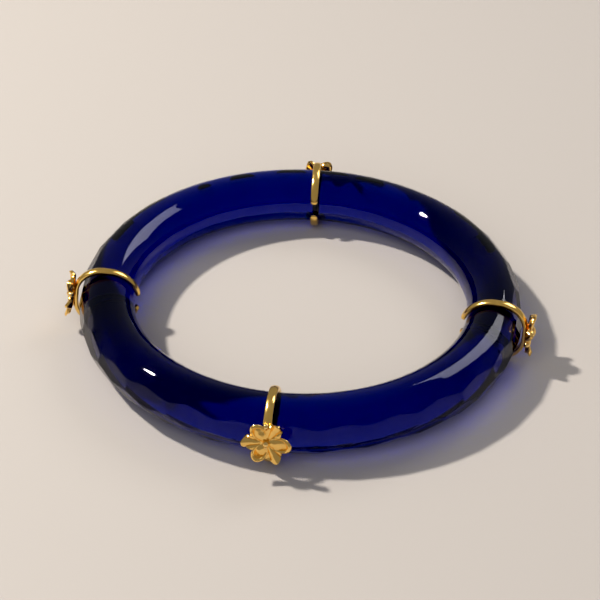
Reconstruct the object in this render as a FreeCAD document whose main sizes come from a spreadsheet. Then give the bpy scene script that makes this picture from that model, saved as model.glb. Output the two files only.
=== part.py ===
"""A bangle: a faceted glass ring that carries four sprung gold clips, each with a small flower.

Frame: millimetres, +Z up along the ring's own axis. The origin is on that axis, at the level of the
surface that the bangle lies on, so the lowest points of the four bands are at Z = 0.

Each clip is drawn in its own frame, whose origin is the middle of the ring's tube: +X points away from
the ring's axis, +Y along the tube and +Z up. Its Placement then sets it at its angle round the ring.
"""
import FreeCAD, Part
import math
import os

import Sketcher
from FreeCAD import Vector

# Driving dimensions: millimetres, degrees and counts.
DIMENSIONS = {
    # the glass ring, and its four rows of facets, each set half a facet on from the row above it
    "bore_diameter": 60.0,
    "tube_diameter": 10.0,
    "facet_count": 28,
    "facet_start": 5.07,
    "facet_tilt_top": 40.0,
    "facet_depth_top": 0.2,
    "facet_tilt_upper": 14.0,
    "facet_depth_upper": 0.38,
    "facet_tilt_lower": -16.0,
    "facet_depth_lower": 0.2,
    "facet_tilt_bottom": -42.0,
    "facet_depth_bottom": 0.3,
    # the clips' bands
    "band_clearance": 0.22,
    "band_width": 1.5,
    "band_edge_thickness": 0.62,
    "band_crown": 0.23,
    "band_half_gap": 12.0,
    "band_flat_reach": 6.1,
    "band_shoulder_radius": 4.15,
    # the flowers
    "petal_count": 3,
    "lower_petal_length": 4.15,
    "lower_petal_half_width": 1.3,
    "upper_petal_length": 3.9,
    "upper_petal_half_width": 1.7,
    "petal_thickness": 0.4,
    "petal_rise": 0.35,
    "petal_root": 0.2,
    "hub_radius": 1.1,
    "solder_depth": 0.07,
    "rib_width": 0.22,
    "rib_offset": 0.34,
    "rib_depth": 0.25,
    "lower_petal_angle": 61.0,
    "upper_petal_angle": 1.0,
    "bead_radius": 0.55,
    "bump_radius": 0.35,
    "bump_distance": 0.65,
    "granule_radius": 0.52,
    "granule_distance": 3.0,
    "granule_angle": 92.0,
    # where each clip sits round the ring, how far it is swivelled up on the tube, and its flower's turn
    "front_clip_at": 270.0,
    "right_clip_at": 353.8,
    "back_clip_at": 93.0,
    "left_clip_at": 188.6,
    "front_swivel": 9.0,
    "right_swivel": 0.0,
    "back_swivel": 0.0,
    "left_swivel": 7.0,
    "front_flower_turn": 0.0,
    "right_flower_turn": 90.0,
    "back_flower_turn": 0.0,
    "left_flower_turn": -60.0,
}
SHEET = "Dimensions"
CLIPS = ("front", "right", "back", "left")
FACET_ROWS = ("top", "upper", "lower", "bottom")

# Sizes that follow from the driving ones, as expressions of the sheet's aliases.
TUBE_RADIUS = f"({SHEET}.tube_diameter / 2)"
RING_RADIUS = f"({SHEET}.bore_diameter / 2 + {TUBE_RADIUS})"
BAND_INNER = f"({TUBE_RADIUS} + {SHEET}.band_clearance)"
BAND_THICKNESS = f"({SHEET}.band_edge_thickness + {SHEET}.band_crown)"
BAND_OUTER = f"({BAND_INNER} + {BAND_THICKNESS})"
BAND_FLAT_INNER = f"({SHEET}.band_flat_reach - {BAND_THICKNESS})"
LOWER_BACK = f"({SHEET}.band_flat_reach - {SHEET}.solder_depth)"
UPPER_BACK = f"({LOWER_BACK} + {SHEET}.petal_thickness)"
PETAL_DEPTH = f"({SHEET}.petal_thickness + {SHEET}.petal_rise)"


def arc_radius(half_chord, rise):
    """The radius of an arc that spans twice half_chord and rises by rise, as an expression."""
    return f"(({half_chord})^2 + ({rise})^2) / (2 * ({rise}))"


def fill_sheet(doc):
    """Keep every driving dimension in a cell, under an alias of its own."""
    sheet = doc.addObject("Spreadsheet::Sheet", SHEET)
    for row, (alias, value) in enumerate(DIMENSIONS.items(), start=1):
        sheet.set(f"A{row}", alias)
        sheet.set(f"B{row}", str(value))
        sheet.setAlias(f"B{row}", alias)
    doc.recompute()


def place_on_clip(item, clip, roll="0"):
    """Set a piece drawn in its clip's frame at the clip's place, swivelled and then rolled about +X."""
    at = f"{SHEET}.{clip}_clip_at"
    point = f"create(<<vector>>; {RING_RADIUS} * cos({at}); {RING_RADIUS} * sin({at}); {BAND_OUTER})"
    turn = f"create(<<rotation>>; {at}; 0 - {SHEET}.{clip}_swivel; {roll})"
    item.setExpression("Placement", f"create(<<placement>>; {point}; {turn})")


# --- sketches and features --------------------------------------------------------------------------

def origin_feature(body, role):
    """One of a body's own origin planes or axes."""
    return next(item for item in body.Origin.OriginFeatures if item.Role == role)


def new_sketch(body, name, role, offset="0"):
    """A sketch on one of the body's origin planes, moved along the plane's normal by offset."""
    sketch = body.newObject("Sketcher::SketchObject", name)
    sketch.AttachmentSupport = (origin_feature(body, role), [""])
    sketch.MapMode = "FlatFace"
    sketch.setExpression("AttachmentOffset.Base.z", offset)
    return sketch


def drive(sketch, name, kind, places, expression):
    """Add a dimension to a sketch and drive it from the sheet."""
    value = sketch.evalExpression(expression)
    index = sketch.addConstraint(Sketcher.Constraint(kind, *places, value))
    sketch.renameConstraint(index, name)
    sketch.setExpression(f"Constraints.{name}", expression)


def fix(sketch, kind, *places):
    """Add a constraint that has no dimension, such as Coincident."""
    sketch.addConstraint(Sketcher.Constraint(kind, *places))


def pad(body, name, sketch, length):
    """A Pad of a sketch along the sketch's normal."""
    feature = body.newObject("PartDesign::Pad", name)
    feature.Profile = sketch
    feature.setExpression("Length", length)
    return feature


def polar_pattern(body, name, feature):
    """Repeat a feature round the body's X axis, once for each petal of the layer."""
    pattern = body.newObject("PartDesign::PolarPattern", name)
    pattern.Originals = [feature]
    pattern.Axis = (origin_feature(body, "X_Axis"), [""])
    pattern.Angle = 360
    pattern.setExpression("Occurrences", f"{SHEET}.petal_count")
    body.Tip = pattern
    return pattern


# --- the glass ring ---------------------------------------------------------------------------------

def facet_polygon(doc, name, height, row, start):
    """The polygon that a row of facets makes at a height above the middle of the tube."""
    polygon = doc.addObject("Part::RegularPolygon", name)
    polygon.setExpression("Polygon", f"{SHEET}.facet_count")
    tilt = f"{SHEET}.facet_tilt_{row}"
    reach = f"({TUBE_RADIUS} - {SHEET}.facet_depth_{row} - ({height}) * sin({tilt})) / cos({tilt})"
    polygon.setExpression("Circumradius", f"({RING_RADIUS} + {reach}) / cos(180 / {SHEET}.facet_count)")
    point = f"create(<<vector>>; 0; 0; {height})"
    turn = f"create(<<rotation>>; {start}; 0; 0)"
    polygon.setExpression("Placement", f"create(<<placement>>; {point}; {turn})")
    return polygon


def facet_row(doc, row, start):
    """A tapered prism whose sides are the planes of one row of facets."""
    prism = doc.addObject("Part::Loft", f"{row}_facets")
    prism.Sections = [
        facet_polygon(doc, f"{row}_facets_below", f"-{SHEET}.tube_diameter", row, start),
        facet_polygon(doc, f"{row}_facets_above", f"{SHEET}.tube_diameter", row, start),
    ]
    prism.Solid = True
    prism.Ruled = True
    return prism


def make_glass_ring(doc):
    """A round tube bent into a ring, with rows of shallow facets cut round its outer side."""
    tube = doc.addObject("Part::Torus", "ring_tube")
    tube.setExpression("Radius1", RING_RADIUS)
    tube.setExpression("Radius2", TUBE_RADIUS)
    starts = (f"{SHEET}.facet_start", f"{SHEET}.facet_start + 180 / {SHEET}.facet_count")
    ring = doc.addObject("Part::MultiCommon", "glass_ring")
    ring.Shapes = [tube] + [facet_row(doc, row, starts[k % 2]) for k, row in enumerate(FACET_ROWS)]
    ring.setExpression("Placement.Base.z", BAND_OUTER)
    return ring


# --- a clip -----------------------------------------------------------------------------------------

def band_section(body, name):
    """The strip's section where it crosses the clip's XY plane: flat inside and domed outside."""
    sketch = new_sketch(body, name, "XY_Plane")
    inner = sketch.evalExpression(BAND_FLAT_INNER)
    edge = inner + DIMENSIONS["band_edge_thickness"]
    half_width = DIMENSIONS["band_width"] / 2
    crown_radius = arc_radius(f"{SHEET}.band_width / 2", f"{SHEET}.band_crown")
    dome_radius = sketch.evalExpression(crown_radius)
    dome_centre = Vector(edge + DIMENSIONS["band_crown"] - dome_radius, 0, 0)
    dome_angle = math.asin(half_width / dome_radius)
    corners = [Vector(edge, -half_width), Vector(inner, -half_width),
               Vector(inner, half_width), Vector(edge, half_width)]
    for start, end in zip(corners, corners[1:]):
        sketch.addGeometry(Part.LineSegment(start, end))
    dome = Part.Circle(dome_centre, Vector(0, 0, 1), dome_radius)
    sketch.addGeometry(Part.ArcOfCircle(dome, -dome_angle, dome_angle))
    fix(sketch, "Coincident", 0, 2, 1, 1)
    fix(sketch, "Coincident", 1, 2, 2, 1)
    fix(sketch, "Coincident", 2, 2, 3, 2)
    fix(sketch, "Coincident", 0, 1, 3, 1)
    fix(sketch, "Horizontal", 0)
    fix(sketch, "Horizontal", 2)
    fix(sketch, "Symmetric", 1, 1, 1, 2, -1)
    fix(sketch, "PointOnObject", 3, 3, -1)
    drive(sketch, "inner_reach", "DistanceX", (-1, 1, 1, 1), BAND_FLAT_INNER)
    drive(sketch, "width", "DistanceY", (1, 1, 1, 2), f"{SHEET}.band_width")
    drive(sketch, "edge_thickness", "DistanceX", (2, 1, 2, 2), f"{SHEET}.band_edge_thickness")
    drive(sketch, "dome_radius", "Radius", (3,), crown_radius)
    return sketch


def band_path(body, name):
    """The upper half of the strip's inner line: up the flat side, over the shoulder and round the tube."""
    sketch = new_sketch(body, name, "XZ_Plane")
    flat = sketch.evalExpression(BAND_FLAT_INNER)
    inner = sketch.evalExpression(BAND_INNER)
    shoulder = DIMENSIONS["band_shoulder_radius"]
    centre = Vector(flat - shoulder, inner - shoulder, 0)
    end = math.pi - math.radians(DIMENSIONS["band_half_gap"])
    sketch.addGeometry(Part.LineSegment(Vector(flat, 0), Vector(flat, centre.y)))
    turn = Part.Circle(centre, Vector(0, 0, 1), shoulder)
    sketch.addGeometry(Part.ArcOfCircle(turn, 0, math.pi / 2))
    sketch.addGeometry(Part.LineSegment(Vector(centre.x, inner), Vector(0, inner)))
    hook = Part.Circle(Vector(0, 0, 0), Vector(0, 0, 1), inner)
    sketch.addGeometry(Part.ArcOfCircle(hook, math.pi / 2, end))
    fix(sketch, "Vertical", 0)
    fix(sketch, "PointOnObject", 0, 1, -1)
    fix(sketch, "Tangent", 0, 2, 1, 1)
    fix(sketch, "Tangent", 1, 2, 2, 1)
    fix(sketch, "Horizontal", 2)
    fix(sketch, "Tangent", 2, 2, 3, 1)
    fix(sketch, "Coincident", 3, 3, -1, 1)
    drive(sketch, "flat_side", "DistanceX", (-1, 1, 0, 1), BAND_FLAT_INNER)
    drive(sketch, "shoulder_radius", "Radius", (1,), f"{SHEET}.band_shoulder_radius")
    drive(sketch, "hook_radius", "Radius", (3,), BAND_INNER)
    drive(sketch, "hook_end", "DistanceY", (-1, 1, 3, 2), f"{BAND_INNER} * sin({SHEET}.band_half_gap)")
    return sketch


def make_band(doc, clip):
    """The open C of strip: flat where it carries the flower, and open towards the ring's axis."""
    body = doc.addObject("PartDesign::Body", f"{clip}_band")
    section = band_section(body, f"{clip}_band_section")
    path = band_path(body, f"{clip}_band_path")
    doc.recompute()
    strip = body.newObject("PartDesign::AdditivePipe", f"{clip}_band_strip")
    strip.Profile = section
    strip.Spine = (path, [])
    mirrored = body.newObject("PartDesign::Mirrored", f"{clip}_band_mirrored")
    mirrored.Originals = [strip]
    mirrored.MirrorPlane = (origin_feature(body, "XY_Plane"), [""])
    body.Tip = mirrored
    place_on_clip(body, clip)
    return body


def petal_outline(body, name, back, length, half_width):
    """A pointed oval from near the flower's middle to the petal's tip, along the body's Y axis."""
    sketch = new_sketch(body, name, "YZ_Plane", back)
    root = f"{SHEET}.petal_root"
    half_length = f"({length} - {root}) / 2"
    radius_expression = arc_radius(half_length, half_width)
    radius = sketch.evalExpression(radius_expression)
    half = sketch.evalExpression(half_length)
    middle = DIMENSIONS["petal_root"] + half
    sink = radius - sketch.evalExpression(half_width)
    spread = math.asin(half / radius)
    for side in (1, -1):
        centre = Vector(middle, -side * sink, 0)
        top = side * math.pi / 2
        circle = Part.Circle(centre, Vector(0, 0, 1), radius)
        sketch.addGeometry(Part.ArcOfCircle(circle, top - spread, top + spread))
    fix(sketch, "Coincident", 0, 2, 1, 1)
    fix(sketch, "Coincident", 0, 1, 1, 2)
    fix(sketch, "PointOnObject", 0, 1, -1)
    fix(sketch, "PointOnObject", 0, 2, -1)
    fix(sketch, "Equal", 0, 1)
    drive(sketch, "root", "DistanceX", (-1, 1, 0, 2), root)
    drive(sketch, "tip", "DistanceX", (-1, 1, 0, 1), length)
    drive(sketch, "side_radius", "Radius", (0,), radius_expression)
    return sketch


def cut_ribs(body, name, back, length):
    """Two grooves in the front of a petal, which grow deeper towards its raised tip."""
    sketch = new_sketch(body, f"{name}_outline", "YZ_Plane", f"{back} + {PETAL_DEPTH}")
    start = 0.0
    end = sketch.evalExpression(length)
    half = DIMENSIONS["rib_width"] / 2
    for number, side in enumerate((1, -1)):
        middle = side * DIMENSIONS["rib_offset"]
        corners = [Vector(start, middle - half), Vector(end, middle - half),
                   Vector(end, middle + half), Vector(start, middle + half)]
        first = 4 * number
        for corner, following in zip(corners, corners[1:] + corners[:1]):
            sketch.addGeometry(Part.LineSegment(corner, following))
        for line in range(4):
            fix(sketch, "Coincident", first + line, 2, first + (line + 1) % 4, 1)
        fix(sketch, "Horizontal", first)
        fix(sketch, "Horizontal", first + 2)
        fix(sketch, "Vertical", first + 1)
        fix(sketch, "Vertical", first + 3)
        fix(sketch, "PointOnObject", first, 1, -2)
        low = f"{side} * {SHEET}.rib_offset - {SHEET}.rib_width / 2"
        drive(sketch, f"low_{number}", "DistanceY", (-1, 1, first, 1), low)
        drive(sketch, f"width_{number}", "DistanceY", (first + 1, 1, first + 1, 2), f"{SHEET}.rib_width")
        drive(sketch, f"length_{number}", "DistanceX", (first, 1, first, 2), length)
    pocket = body.newObject("PartDesign::Pocket", name)
    pocket.Profile = sketch
    pocket.setExpression("Length", f"{SHEET}.rib_depth")
    return pocket


def make_petals(doc, clip, layer, back, ribbed):
    """One layer of a flower: three petals on a hub, cut from one dished sheet."""
    name = f"{clip}_{layer}_petals"
    length = f"{SHEET}.{layer}_petal_length"
    flat = doc.addObject("PartDesign::Body", f"{name}_blank")
    hub = new_sketch(flat, f"{name}_hub_outline", "YZ_Plane", back)
    hub.addGeometry(Part.Circle(Vector(0, 0, 0), Vector(0, 0, 1), DIMENSIONS["hub_radius"]))
    fix(hub, "Coincident", 0, 3, -1, 1)
    drive(hub, "hub_radius", "Radius", (0,), f"{SHEET}.hub_radius")
    pad(flat, f"{name}_hub", hub, PETAL_DEPTH)
    outline = petal_outline(flat, f"{name}_outline", back, length, f"{SHEET}.{layer}_petal_half_width")
    petal = pad(flat, f"{name}_petal", outline, PETAL_DEPTH)
    petals = polar_pattern(flat, f"{name}_pattern", petal)
    if ribbed:
        doc.recompute()
        ribs = cut_ribs(flat, f"{name}_ribs", back, length)
        doc.recompute()
        if ribs.Shape.Volume >= petals.Shape.Volume:
            raise RuntimeError(f"{name}: the ribs cut nothing")
        polar_pattern(flat, f"{name}_rib_pattern", ribs)
    dish_radius = arc_radius(length, f"{SHEET}.petal_rise")
    shell = doc.addObject("Part::Cut", f"{name}_dish")
    for role, radius in (("Base", dish_radius), ("Tool", f"{dish_radius} - {SHEET}.petal_thickness")):
        sphere = doc.addObject("Part::Sphere", f"{name}_dish_{role.lower()}")
        sphere.setExpression("Radius", radius)
        sphere.setExpression("Placement.Base.x", f"{back} + {dish_radius}")
        setattr(shell, role, sphere)
    petals = doc.addObject("Part::Common", name)
    petals.Base = flat
    petals.Tool = shell
    place_on_clip(petals, clip, f"{SHEET}.{layer}_petal_angle + {SHEET}.{clip}_flower_turn")
    return petals


def make_centre_bead(doc, clip):
    """The bead in the middle of the flower, with a smaller bump run into it."""
    bead = doc.addObject("Part::Sphere", f"{clip}_bead_ball")
    bead.setExpression("Radius", f"{SHEET}.bead_radius")
    bump = doc.addObject("Part::Sphere", f"{clip}_bead_bump")
    bump.setExpression("Radius", f"{SHEET}.bump_radius")
    bump.setExpression("Placement.Base.z", f"-{SHEET}.bump_distance")
    for ball in (bead, bump):
        ball.setExpression("Placement.Base.x", f"{UPPER_BACK} + {SHEET}.petal_thickness")
    both = doc.addObject("Part::Fuse", f"{clip}_centre_bead")
    both.Base = bead
    both.Tool = bump
    place_on_clip(both, clip, f"{SHEET}.{clip}_flower_turn")
    return both


def make_granule(doc, clip):
    """A single ball low between two petals, soldered to both."""
    granule = doc.addObject("Part::Sphere", f"{clip}_granule")
    granule.setExpression("Radius", f"{SHEET}.granule_radius")
    at = f"{SHEET}.{clip}_clip_at"
    swivel = f"{SHEET}.{clip}_swivel"
    angle = f"({SHEET}.granule_angle + {SHEET}.{clip}_flower_turn)"
    along = f"({SHEET}.granule_distance * cos({angle}))"
    up = f"({SHEET}.granule_distance * sin({angle}))"
    reach = f"({RING_RADIUS} + {UPPER_BACK} * cos({swivel}) - {up} * sin({swivel}))"
    rise = f"({UPPER_BACK} * sin({swivel}) + {up} * cos({swivel}))"
    granule.setExpression("Placement.Base.x", f"{reach} * cos({at}) - {along} * sin({at})")
    granule.setExpression("Placement.Base.y", f"{reach} * sin({at}) + {along} * cos({at})")
    granule.setExpression("Placement.Base.z", f"{BAND_OUTER} + {rise}")
    return granule


def make_clip(doc, clip):
    """Every piece of one clip."""
    return [
        make_band(doc, clip),
        make_petals(doc, clip, "lower", LOWER_BACK, ribbed=True),
        make_petals(doc, clip, "upper", UPPER_BACK, ribbed=False),
        make_centre_bead(doc, clip),
        make_granule(doc, clip),
    ]


# --- checks and export ------------------------------------------------------------------------------

def check(doc, pieces):
    """Stop if any object failed, or if a piece isn't one sound solid."""
    for item in doc.Objects:
        if "Invalid" in item.State or "Error" in item.State:
            raise RuntimeError(f"{item.Label} failed: {item.State}")
    for piece in pieces:
        shape = piece.Shape
        if shape.isNull() or not shape.isValid() or len(shape.Solids) != 1:
            raise RuntimeError(f"{piece.Label} is not one valid solid")


def main():
    doc = FreeCAD.newDocument("Bangle")
    fill_sheet(doc)
    pieces = [make_glass_ring(doc)]
    for clip in CLIPS:
        pieces.extend(make_clip(doc, clip))
    doc.recompute()
    check(doc, pieces)
    os.makedirs("parts", exist_ok=True)
    for piece in pieces:
        piece.Shape.exportStep(f"parts/{piece.Label}.step")
        box = piece.Shape.BoundBox
        print(f"{piece.Label}: {piece.Shape.Volume:.2f} mm3, z {box.ZMin:.2f} to {box.ZMax:.2f}")


main()
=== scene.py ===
"""The bangle's looks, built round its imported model: cobalt glass, gold clips, and a plain studio."""
import math
import random

import bpy
import numpy as np
from mathutils import Matrix, Vector, noise


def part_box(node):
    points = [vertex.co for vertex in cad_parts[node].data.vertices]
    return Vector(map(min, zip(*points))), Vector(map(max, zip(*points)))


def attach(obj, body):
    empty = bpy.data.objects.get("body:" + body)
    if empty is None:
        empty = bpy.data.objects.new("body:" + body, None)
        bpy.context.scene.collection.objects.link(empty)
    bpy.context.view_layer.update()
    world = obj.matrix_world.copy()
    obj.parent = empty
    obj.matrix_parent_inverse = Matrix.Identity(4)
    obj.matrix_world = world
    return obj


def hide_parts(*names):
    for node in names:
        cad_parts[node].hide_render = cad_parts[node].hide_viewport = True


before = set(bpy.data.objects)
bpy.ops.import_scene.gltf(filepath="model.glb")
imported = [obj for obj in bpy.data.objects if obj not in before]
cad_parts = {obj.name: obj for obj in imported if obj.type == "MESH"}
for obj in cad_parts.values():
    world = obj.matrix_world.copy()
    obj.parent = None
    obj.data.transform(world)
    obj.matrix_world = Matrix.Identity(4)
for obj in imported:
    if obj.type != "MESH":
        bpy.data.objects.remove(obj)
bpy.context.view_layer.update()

MM = 0.001
CLIPS = ("front", "right", "back", "left")

# How far each clip is swivelled up on the tube, and how far its flower is turned, in degrees.
SWIVELS = {"front": 9, "right": 0, "back": 0, "left": 7}
FLOWER_TURNS = {"front": 0, "right": 90, "back": 0, "left": -60}

# The ring, read from the frame. Lengths are in millimetres, except the studio's, which are in metres.
ring_low, ring_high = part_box("glass_ring")
RING_CENTRE_Z = (ring_low.z + ring_high.z) / 2 / MM
TUBE_RADIUS = (ring_high.z - ring_low.z) / 2 / MM
BORE_RADIUS = min(v.co.xy.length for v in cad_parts["glass_ring"].data.vertices) / MM
RING_RADIUS = BORE_RADIUS + TUBE_RADIUS

# The facets: rows of planes round the outer side, each row with its tilt, its depth and where it starts.
FACET_COUNT = 28
FACET_PITCH = math.tau / FACET_COUNT
FACET_START = math.radians(5.07)
FACET_ROWS = (
    (math.radians(40), 0.2, FACET_START),
    (math.radians(14), 0.38, FACET_START + FACET_PITCH / 2),
    (math.radians(-16), 0.2, FACET_START),
    (math.radians(-42), 0.3, FACET_START + FACET_PITCH / 2),
)
EDGE_SOFTNESS = 0.022

# A direction that a facet hardly faces is left to the other facets.
LEAST_FACING = 0.05
OUT_OF_REACH = 99.0

# The largest errors that the cutter's hand leaves in a facet's depth, turn and tilt.
DEPTH_ERROR = 0.04
TURN_ERROR = 0.02
TILT_ERROR = 0.03

# The clips' strip and the straight side of it that carries the flower.
BAND_WIDTH = 1.5
BAND_THICKNESS = 0.85
BAND_INNER = RING_CENTRE_Z - BAND_THICKNESS
BAND_HALF_GAP = math.radians(12)
SHOULDER_RADIUS = 4.15
BAND_FLAT = 6.1
BAND_CORNER = 0.12
BAND_DOME = 0.36

# The petals of a layer: each one's middle angle in degrees, its length in millimetres and half the
# angle it spans in degrees. A layer's lift is measured from the flat side of the band.
LOWER_PETALS = ((59, 3.9, 41), (-59, 3.85, 44), (182, 4.0, 42))
UPPER_PETALS = ((124, 3.85, 39), (-1, 4.05, 41), (243, 3.6, 39))
LOWER_LIFT = 0.17
UPPER_LIFT = 0.32
LOWER_SHEET = 0.5
UPPER_SHEET = 0.42
PETAL_SPOKES = 432
PETAL_RINGS = 40
HUB_RADIUS = 1.0

# The outline of a petal: full sides have a high power, a blunt tip a low one.
RIBBED_SIDES = 1.9
RIBBED_TIP = 0.95
SMOOTH_SIDES = 1.8
SMOOTH_TIP = 0.85
SMOOTH_LEAN = 0.1

# The relief of a petal's sheet: how far each feature lifts it away from the band.
TIP_RISE = 0.1
CENTRE_DIP = 0.12
CENTRE_DIP_RADIUS = 0.9
RIBS_HALF_TURNS = 1.5
RIB_RISE = 0.32
RIB_BASE = 0.05
RIB_GROWTH = 0.7
RIBBED_TIP_RISE = 0.3
RIB_SCALLOP = 0.1
BELLY_RISE = 0.36
BELLY_END = 0.8
LIP_RISE = 0.72
LIP_AT = 0.95
LIP_WIDTH = 0.075
WAVER = 0.07
WAVER_PITCH = 1.3


# --- meshes ---------------------------------------------------------------------------------------

def add_mesh(name, points, faces, matrix, material, body, replaced):
    """A smooth piece from points in millimetres, set in place and bound to its body."""
    mesh = bpy.data.meshes.new(name)
    mesh.from_pydata([matrix @ Vector(p) * MM for p in points], [], faces)
    mesh.validate()
    mesh.update()
    mesh.shade_smooth()
    piece = bpy.data.objects.new(name, mesh)
    bpy.context.scene.collection.objects.link(piece)
    piece.data.materials.append(material)
    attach(piece, body)
    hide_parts(*replaced)
    return piece


def apply_modifiers(piece):
    """Bake the piece's modifiers into its mesh."""
    graph = bpy.context.evaluated_depsgraph_get()
    mesh = bpy.data.meshes.new_from_object(piece.evaluated_get(graph))
    piece.modifiers.clear()
    piece.data = mesh
    mesh.shade_smooth()


def loop_faces(columns, rows, close_columns, close_rows):
    """Quads over a grid of points stored column by column."""
    faces = []
    for i in range(columns if close_columns else columns - 1):
        for j in range(rows if close_rows else rows - 1):
            ahead = (i + 1) % columns
            above = (j + 1) % rows
            faces.append((i * rows + j, ahead * rows + j, ahead * rows + above, i * rows + above))
    return faces


# --- materials ------------------------------------------------------------------------------------

def new_material(name):
    """A new material, with its nodes, its links and its shader."""
    material = bpy.data.materials.new(name)
    material.use_nodes = True
    nodes = material.node_tree.nodes
    return material, nodes, material.node_tree.links, nodes["Principled BSDF"]


def glass_material():
    """Clear glass that takes out red and green through its depth."""
    material, nodes, links, shader = new_material("cobalt_glass")
    shader.inputs["Base Color"].default_value = (1, 1, 1, 1)
    shader.inputs["Roughness"].default_value = 0.0
    shader.inputs["Transmission Weight"].default_value = 1.0
    shader.inputs["IOR"].default_value = 1.52
    shader.inputs["Specular IOR Level"].default_value = 0.25
    absorb = nodes.new("ShaderNodeVolumeAbsorption")
    absorb.inputs["Color"].default_value = (0.0, 0.47, 0.865, 1)
    absorb.inputs["Density"].default_value = 1000.0
    links.new(absorb.outputs["Volume"], nodes["Material Output"].inputs["Volume"])
    return material


def gold_material(name, colour, roughness, spread, grain, grain_depth):
    """Yellow gold: roughness wanders round a middle value, over a fine grain."""
    material, nodes, links, shader = new_material(name)
    shader.inputs["Metallic"].default_value = 1.0
    shader.inputs["Base Color"].default_value = (*colour, 1)
    place = nodes.new("ShaderNodeTexCoord")
    patches = nodes.new("ShaderNodeTexNoise")
    patches.inputs["Scale"].default_value = 900
    patches.inputs["Detail"].default_value = 4
    links.new(place.outputs["Object"], patches.inputs["Vector"])
    rough = nodes.new("ShaderNodeMapRange")
    rough.inputs["From Min"].default_value = 0.3
    rough.inputs["From Max"].default_value = 0.7
    rough.inputs["To Min"].default_value = roughness - spread
    rough.inputs["To Max"].default_value = roughness + spread
    links.new(patches.outputs["Fac"], rough.inputs["Value"])
    links.new(rough.outputs["Result"], shader.inputs["Roughness"])
    fine = nodes.new("ShaderNodeTexNoise")
    fine.inputs["Scale"].default_value = grain
    fine.inputs["Detail"].default_value = 3
    links.new(place.outputs["Object"], fine.inputs["Vector"])
    bump = nodes.new("ShaderNodeBump")
    bump.inputs["Strength"].default_value = 0.5
    bump.inputs["Distance"].default_value = grain_depth
    links.new(fine.outputs["Fac"], bump.inputs["Height"])
    links.new(bump.outputs["Normal"], shader.inputs["Normal"])
    return material


# --- the glass ring -------------------------------------------------------------------------------

def hand_cut(seed):
    """Small errors of each facet of a row, as a cutter's hand leaves them: depth, turn and tilt."""
    draw = random.Random(seed)
    depth = [draw.uniform(-DEPTH_ERROR, DEPTH_ERROR) for _ in range(FACET_COUNT)]
    turn = [draw.uniform(-TURN_ERROR, TURN_ERROR) for _ in range(FACET_COUNT)]
    tilt = [draw.uniform(-TILT_ERROR, TILT_ERROR) for _ in range(FACET_COUNT)]
    return np.array(depth), np.array(turn), np.array(tilt)


def surface_reach(angle, section):
    """How far the glass reaches from the tube's centre line: the least of the tube and every facet near."""
    reaches = [np.full_like(angle, TUBE_RADIUS)]
    for number, (row_tilt, row_depth, start) in enumerate(FACET_ROWS):
        depth_error, turn_error, tilt_error = hand_cut(number)
        nearest = np.floor((angle - start) / FACET_PITCH).astype(int)
        for step in (-1, 0, 1):
            facet = (nearest + step) % FACET_COUNT
            middle = start + (nearest + step + 0.5) * FACET_PITCH
            tilt = row_tilt + tilt_error[facet]
            offset = angle - middle
            turned = offset - turn_error[facet]
            depth = row_depth + depth_error[facet]
            lean = np.cos(tilt)
            fall = RING_RADIUS * lean * (np.cos(turn_error[facet]) - np.cos(turned))
            distance = TUBE_RADIUS - depth + fall
            facing = np.cos(section) * np.cos(turned) * lean + np.sin(section) * np.sin(tilt)
            reach = distance / np.maximum(facing, LEAST_FACING)
            reaches.append(np.where(facing > LEAST_FACING, reach, OUT_OF_REACH))
    reaches = np.array(reaches)
    least = reaches.min(axis=0)
    return least - EDGE_SOFTNESS * np.log(np.exp((least - reaches) / EDGE_SOFTNESS).sum(axis=0))


def surface_point(angle, section):
    """The glass surface at an angle round the ring and an angle round the tube."""
    reach = surface_reach(angle, section)
    radius = RING_RADIUS + reach * np.cos(section)
    height = RING_CENTRE_Z + reach * np.sin(section)
    return np.stack([radius * np.cos(angle), radius * np.sin(angle), height], axis=-1)


def make_glass_ring(material):
    """The ring as one fine grid, with the true normal of the cut surface at every vertex."""
    columns_per_facet = 40
    columns = FACET_COUNT * columns_per_facet
    outer_rows = 132
    inner_rows = 52
    outer_half = math.radians(68)
    around = np.linspace(0, math.tau, columns, endpoint=False)
    outer = np.linspace(-outer_half, outer_half, outer_rows, endpoint=False)
    inner = np.linspace(outer_half, math.tau - outer_half, inner_rows, endpoint=False)
    sections = np.concatenate([outer, inner])
    rows = len(sections)
    angle, section = (grid.ravel() for grid in np.meshgrid(around, sections, indexing="ij"))
    points = surface_point(angle, section)
    nudge = 0.0002
    along = surface_point(angle + nudge, section) - surface_point(angle - nudge, section)
    across = surface_point(angle, section + nudge) - surface_point(angle, section - nudge)
    normals = np.cross(along, across)
    normals /= np.linalg.norm(normals, axis=1, keepdims=True)
    faces = loop_faces(columns, rows, True, True)
    ring = add_mesh("cut_glass_ring", points, faces, Matrix.Identity(4), material,
                    "ring", ["glass_ring"])
    ring.data.normals_split_custom_set_from_vertices(normals.tolist())


# --- the clips ------------------------------------------------------------------------------------

def clip_matrix(clip):
    """The clip's own frame: origin in the middle of the tube, +X away from the ring's axis."""
    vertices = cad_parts[f"{clip}_band"].data.vertices
    middle = sum((v.co for v in vertices), Vector()) / len(vertices)
    at = math.atan2(middle.y, middle.x)
    centre = Vector((RING_RADIUS * math.cos(at), RING_RADIUS * math.sin(at), RING_CENTRE_Z))
    swivel = Matrix.Rotation(-math.radians(SWIVELS[clip]), 4, "Y")
    return Matrix.Translation(centre) @ Matrix.Rotation(at, 4, "Z") @ swivel


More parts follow.
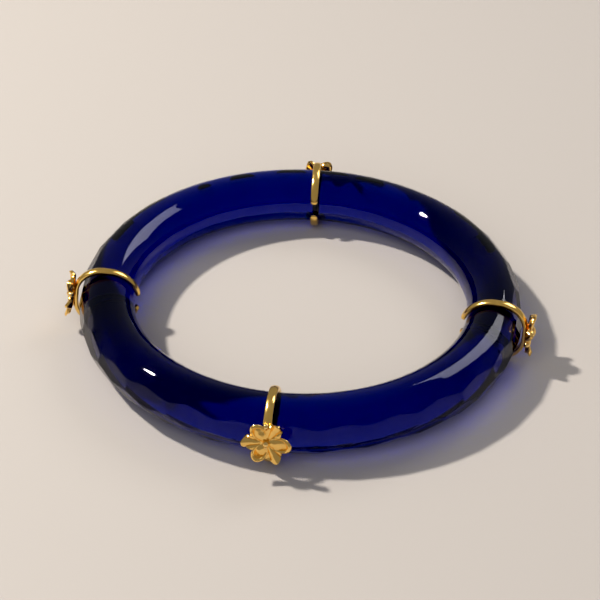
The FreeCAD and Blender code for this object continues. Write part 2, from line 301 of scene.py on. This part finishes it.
def band_section():
    """The strip's section as (distance out, distance along the tube), counter-clockwise."""
    half = BAND_WIDTH / 2
    flat = half - BAND_CORNER
    flat_steps = 6
    corner_steps = 3
    dome_steps = 16
    dome_fullness = 0.9
    section = []
    for k in range(flat_steps + 1):
        share = -1 + 2 * k / flat_steps
        section.append((0.0, -share * flat))
    for k in range(1, corner_steps + 1):
        turn = math.pi / 2 * k / corner_steps
        section.append((BAND_CORNER * (1 - math.cos(turn)), -flat - BAND_CORNER * math.sin(turn)))
    for k in range(dome_steps + 1):
        turn = math.pi * k / dome_steps
        rise = BAND_DOME * math.sin(turn) ** dome_fullness
        section.append((BAND_THICKNESS - BAND_DOME + rise, -half * math.cos(turn)))
    for k in range(1, corner_steps):
        turn = math.pi / 2 * (1 - k / corner_steps)
        section.append((BAND_CORNER * (1 - math.cos(turn)), flat + BAND_CORNER * math.sin(turn)))
    return section


def band_path_point(distance):
    """A point of the strip's inner line and the way out from it, at a distance from the flat's middle."""
    side = 1 if distance >= 0 else -1
    left = abs(distance)
    shoulder_x = BAND_FLAT - BAND_THICKNESS - SHOULDER_RADIUS
    shoulder_z = BAND_INNER - SHOULDER_RADIUS
    if left <= shoulder_z:
        return (shoulder_x + SHOULDER_RADIUS, side * left), (1, 0)
    left -= shoulder_z
    if left <= SHOULDER_RADIUS * math.pi / 2:
        turn = left / SHOULDER_RADIUS
        out = (math.cos(turn), side * math.sin(turn))
        return (shoulder_x + SHOULDER_RADIUS * out[0], side * shoulder_z + SHOULDER_RADIUS * out[1]), out
    left -= SHOULDER_RADIUS * math.pi / 2
    if left <= shoulder_x:
        return (shoulder_x - left, side * BAND_INNER), (0, side)
    turn = math.pi / 2 + (left - shoulder_x) / BAND_INNER
    out = (math.cos(turn), side * math.sin(turn))
    return (BAND_INNER * out[0], BAND_INNER * out[1]), out


def band_half_length():
    """Half the length of the strip's inner line, from the flat's middle to an end."""
    hook = (math.pi / 2 - BAND_HALF_GAP) * BAND_INNER
    flat = BAND_INNER - SHOULDER_RADIUS
    top = BAND_FLAT - BAND_THICKNESS - SHOULDER_RADIUS
    return flat + SHOULDER_RADIUS * math.pi / 2 + top + hook


def make_band(clip, matrix, material):
    """The open C: a domed strip swept along its path, a little uneven by hand, with rounded ends."""
    section = band_section()
    steps = 220
    evenness = 0.75
    half_length = band_half_length()
    round_end = 0.7
    end_size = 0.08
    wander_pitch = 0.35
    wander_out = 0.012
    wander_wide = 0.05
    middle_out = BAND_THICKNESS / 2
    seed = 17.0 * CLIPS.index(clip)
    points = []
    for k in range(steps + 1):
        share = -math.cos(math.pi * k / steps)
        distance = half_length * (evenness * (2 * k / steps - 1) + (1 - evenness) * share)
        (x, z), (out_x, out_z) = band_path_point(distance)
        near_end = min(1.0, (half_length - abs(distance)) / round_end)
        size = math.sqrt(max(0.0, 1 - (1 - near_end) ** 2)) * (1 - end_size) + end_size
        wander = noise.noise(Vector((distance * wander_pitch, 0, seed)))
        for out, along in section:
            reach = middle_out + (out - middle_out) * size + wander_out * wander
            across = along * size * (1 + wander_wide * wander)
            points.append((x + out_x * reach, across, z + out_z * reach))
    rows = len(section)
    faces = loop_faces(steps + 1, rows, False, True)
    faces.append(tuple(range(rows))[::-1])
    faces.append(tuple(range(steps * rows, (steps + 1) * rows)))
    add_mesh(f"{clip}_gold_band", points, faces, matrix, material,
             f"{clip}_clip", [f"{clip}_band"])


def wrap(angle):
    """The same angle between minus half a turn and half a turn."""
    return (angle + math.pi) % math.tau - math.pi


def petal_outline(aside, length, ribbed):
    """How far a petal reaches at one spoke, how full it is there, and its rib's height (-1 to 1)."""
    beyond_hub = length - HUB_RADIUS
    if ribbed:
        rib = 2 * abs(math.cos(aside * math.pi * RIBS_HALF_TURNS)) - 1
        fullness = max(0.0, 1 - abs(aside) ** RIBBED_SIDES) ** RIBBED_TIP
        return HUB_RADIUS + beyond_hub * fullness + RIB_SCALLOP * fullness * rib, fullness, rib
    fullness = max(0.0, 1 - abs(aside) ** SMOOTH_SIDES) ** SMOOTH_TIP
    return HUB_RADIUS + beyond_hub * fullness * (1 - SMOOTH_LEAN * aside), fullness, 0.0


def petal_relief(aside, share, out, fullness, rib, ribbed):
    """The lift of a ribbed petal's ribs, or of a smooth petal's belly and rolled lip."""
    if ribbed:
        return (RIB_BASE + RIB_RISE * rib) * out ** RIB_GROWTH * fullness + RIBBED_TIP_RISE * out ** 3
    swell = math.sin(math.pi * min(1.0, share / BELLY_END))
    belly = BELLY_RISE * (1 - aside ** 2) * swell * fullness
    lip = LIP_RISE * math.exp(-((share - LIP_AT) / LIP_WIDTH) ** 2) * fullness * out
    return belly + lip


def petal_layer(petals, ribbed, stand, seed):
    """One layer of petals as a polar grid round its hub, standing so far from the tube's middle."""
    petals = [(math.radians(middle), length, math.radians(spread)) for middle, length, spread in petals]
    points = []
    for i in range(PETAL_SPOKES):
        angle = math.tau * i / PETAL_SPOKES
        middle, length, spread = min(petals, key=lambda petal: abs(wrap(angle - petal[0])))
        aside = wrap(angle - middle) / spread
        reach, fullness, rib = petal_outline(aside, length, ribbed)
        for j in range(PETAL_RINGS):
            share = j / (PETAL_RINGS - 1)
            radius = reach * share
            out = radius / length
            y = radius * math.cos(angle)
            z = radius * math.sin(angle)
            lift = TIP_RISE * out ** 2 - CENTRE_DIP * math.exp(-(radius / CENTRE_DIP_RADIUS) ** 2)
            lift += petal_relief(aside, share, out, fullness, rib, ribbed)
            lift += WAVER * noise.noise(Vector((y * WAVER_PITCH, z * WAVER_PITCH, seed)))
            points.append((stand + lift, y, z))
    return points, loop_faces(PETAL_SPOKES, PETAL_RINGS, True, False)


def make_flower(clip, matrix, turn, petal_gold):
    """The two layers of petals: three ribbed ones behind and three smooth, lipped ones in front."""
    rolled = matrix @ Matrix.Rotation(turn, 4, "X")
    seed = 5.0 + CLIPS.index(clip)
    layers = (
        ("lower_petals", LOWER_PETALS, True, LOWER_LIFT, LOWER_SHEET),
        ("upper_petals", UPPER_PETALS, False, UPPER_LIFT, UPPER_SHEET),
    )
    for name, petals, ribbed, lift, sheet in layers:
        points, faces = petal_layer(petals, ribbed, BAND_FLAT + lift, seed)
        piece = add_mesh(f"{clip}_gold_{name}", points, faces, rolled, petal_gold,
                         f"{clip}_clip", [f"{clip}_{name}"])
        weld = piece.modifiers.new("weld", "WELD")
        weld.merge_threshold = 0.005 * MM
        thick = piece.modifiers.new("thickness", "SOLIDIFY")
        thick.thickness = sheet * MM
        thick.offset = 0
        bevel = piece.modifiers.new("worn_edge", "BEVEL")
        bevel.width = 0.09 * MM
        bevel.segments = 2
        bevel.limit_method = "ANGLE"
        bevel.angle_limit = math.radians(50)
        apply_modifiers(piece)


# --- the studio -----------------------------------------------------------------------------------

def make_floor():
    """A plain pale floor, six metres across."""
    mesh = bpy.data.meshes.new("floor")
    half = 3.0
    corners = [(-half, -half, 0), (half, -half, 0), (half, half, 0), (-half, half, 0)]
    mesh.from_pydata(corners, [], [(0, 1, 2, 3)])
    floor = bpy.data.objects.new("floor", mesh)
    bpy.context.scene.collection.objects.link(floor)
    material, _, _, shader = new_material("pale_floor")
    shader.inputs["Base Color"].default_value = (0.35, 0.327, 0.306, 1)
    shader.inputs["Roughness"].default_value = 0.7
    mesh.materials.append(material)


def add_panel(name, azimuth, elevation, distance, width, height, power, colour):
    """A soft box that faces the bangle. Azimuth 0 is along +X and 90 along +Y."""
    data = bpy.data.lights.new(name, "AREA")
    data.shape = "RECTANGLE"
    data.size = width
    data.size_y = height
    data.energy = power
    data.color = colour
    lamp = bpy.data.objects.new(name, data)
    bpy.context.scene.collection.objects.link(lamp)
    a = math.radians(azimuth)
    e = math.radians(elevation)
    place = Vector((math.cos(a) * math.cos(e), math.sin(a) * math.cos(e), math.sin(e))) * distance
    lamp.location = place
    lamp.rotation_euler = (-place).to_track_quat("-Z", "Y").to_euler()
    return lamp


def make_camera():
    """A long lens, looking down on the bangle from in front."""
    azimuth = math.radians(7.2)
    elevation = math.radians(36)
    roll = math.radians(1.09)
    distance = 0.2937
    target = Vector((0, 0, RING_CENTRE_Z * MM))
    back = Vector((math.sin(azimuth) * math.cos(elevation), -math.cos(azimuth) * math.cos(elevation),
                   math.sin(elevation)))
    right = Vector((0, 0, 1)).cross(back).normalized()
    up = back.cross(right)
    right, up = right * math.cos(roll) + up * math.sin(roll), up * math.cos(roll) - right * math.sin(roll)
    data = bpy.data.cameras.new("camera")
    data.lens = 97.26
    data.sensor_width = 36
    data.shift_x = -0.002
    data.shift_y = -0.0032
    data.clip_start = 0.01
    data.clip_end = 20
    camera = bpy.data.objects.new("camera", data)
    bpy.context.scene.collection.objects.link(camera)
    turn = Matrix((right, up, back)).transposed().to_4x4()
    camera.matrix_world = Matrix.Translation(target + back * distance) @ turn
    bpy.context.scene.camera = camera


def light_studio():
    """A room with a small warm key high on the left, a window behind on the right and a soft front fill."""
    world = bpy.data.worlds.new("room")
    world.use_nodes = True
    bpy.context.scene.world = world
    background = world.node_tree.nodes["Background"]
    background.inputs["Color"].default_value = (1.0, 0.98, 0.95, 1)
    background.inputs["Strength"].default_value = 0.34
    add_panel("key_left", azimuth=170, elevation=51, distance=0.9, width=0.055, height=0.055,
              power=12.6, colour=(1.0, 0.95, 0.88))
    add_panel("window_right", azimuth=54, elevation=43, distance=0.9, width=0.43, height=0.42,
              power=2.0, colour=(0.97, 0.96, 1.0))
    fill = add_panel("fill_front", azimuth=262, elevation=40, distance=2.4, width=2.2, height=2.2,
                     power=48.0, colour=(0.95, 0.96, 1.0))
    fill.visible_glossy = False
    fill.visible_transmission = False
    settings = bpy.context.scene.view_settings
    settings.view_transform = "Standard"
    settings.gamma = 0.82
    settings.use_curve_mapping = True
    settings.curve_mapping.black_level = (0.017, 0.016, 0.011)
    settings.curve_mapping.update()


# --- the whole scene ------------------------------------------------------------------------------

make_camera()
make_floor()
light_studio()
glass = glass_material()
band_gold = gold_material("polished_gold", (0.97, 0.68, 0.23), roughness=0.18, spread=0.06,
                          grain=9000, grain_depth=0.000003)
petal_gold = gold_material("satin_gold", (0.97, 0.67, 0.24), roughness=0.19, spread=0.06,
                           grain=12000, grain_depth=0.00001)
bead_gold = gold_material("bead_gold", (0.98, 0.72, 0.32), roughness=0.17, spread=0.05,
                          grain=9000, grain_depth=0.000002)
make_glass_ring(glass)
for clip in CLIPS:
    matrix = clip_matrix(clip)
    make_band(clip, matrix, band_gold)
    make_flower(clip, matrix, math.radians(FLOWER_TURNS[clip]), petal_gold)
    for node in (f"{clip}_centre_bead", f"{clip}_granule"):
        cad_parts[node].data.materials.clear()
        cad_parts[node].data.materials.append(bead_gold)
        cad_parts[node].data.shade_smooth()
